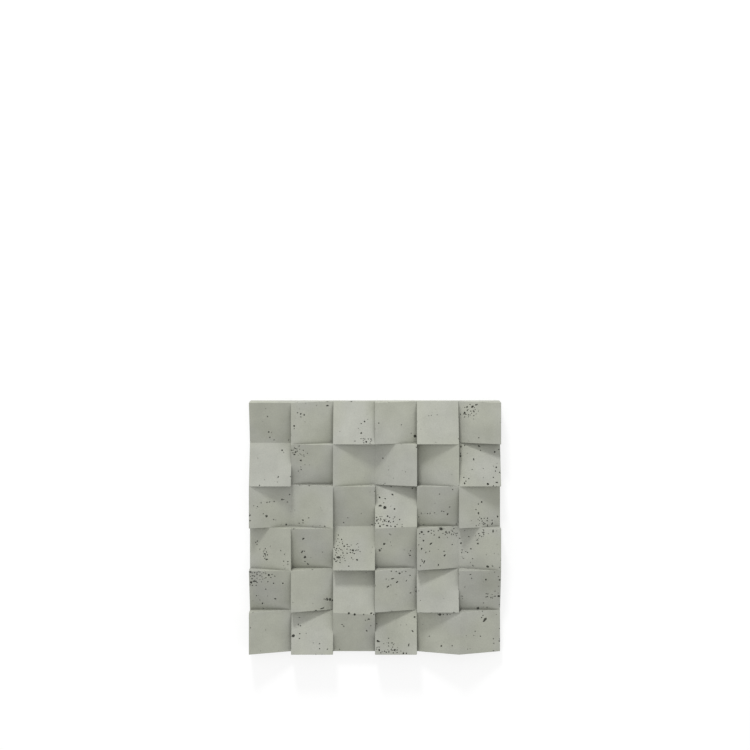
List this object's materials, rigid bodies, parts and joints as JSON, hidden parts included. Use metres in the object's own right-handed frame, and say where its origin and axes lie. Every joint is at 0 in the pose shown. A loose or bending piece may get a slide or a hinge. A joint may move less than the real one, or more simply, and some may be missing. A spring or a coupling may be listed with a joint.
{
  "type": "3d wall panel tile",
  "caption": "Square cast concrete wall tile with a thin slab back and a relief face of square sloping blocks turned in different directions.",
  "frame": {"origin": "centre of the flat back face, which the tile lies on", "axes": "+Z out of the relief face, +Y towards the top edge and +X towards the right edge as the tile hangs on a wall"},
  "size_m": [0.6, 0.6, 0.046],
  "materials": {
    "concrete": "matte cast concrete, greenish grey, with fine air pores"
  },
  "bodies": {
    "root": {"wall_tile": "concrete"}
  },
  "joints": []
}
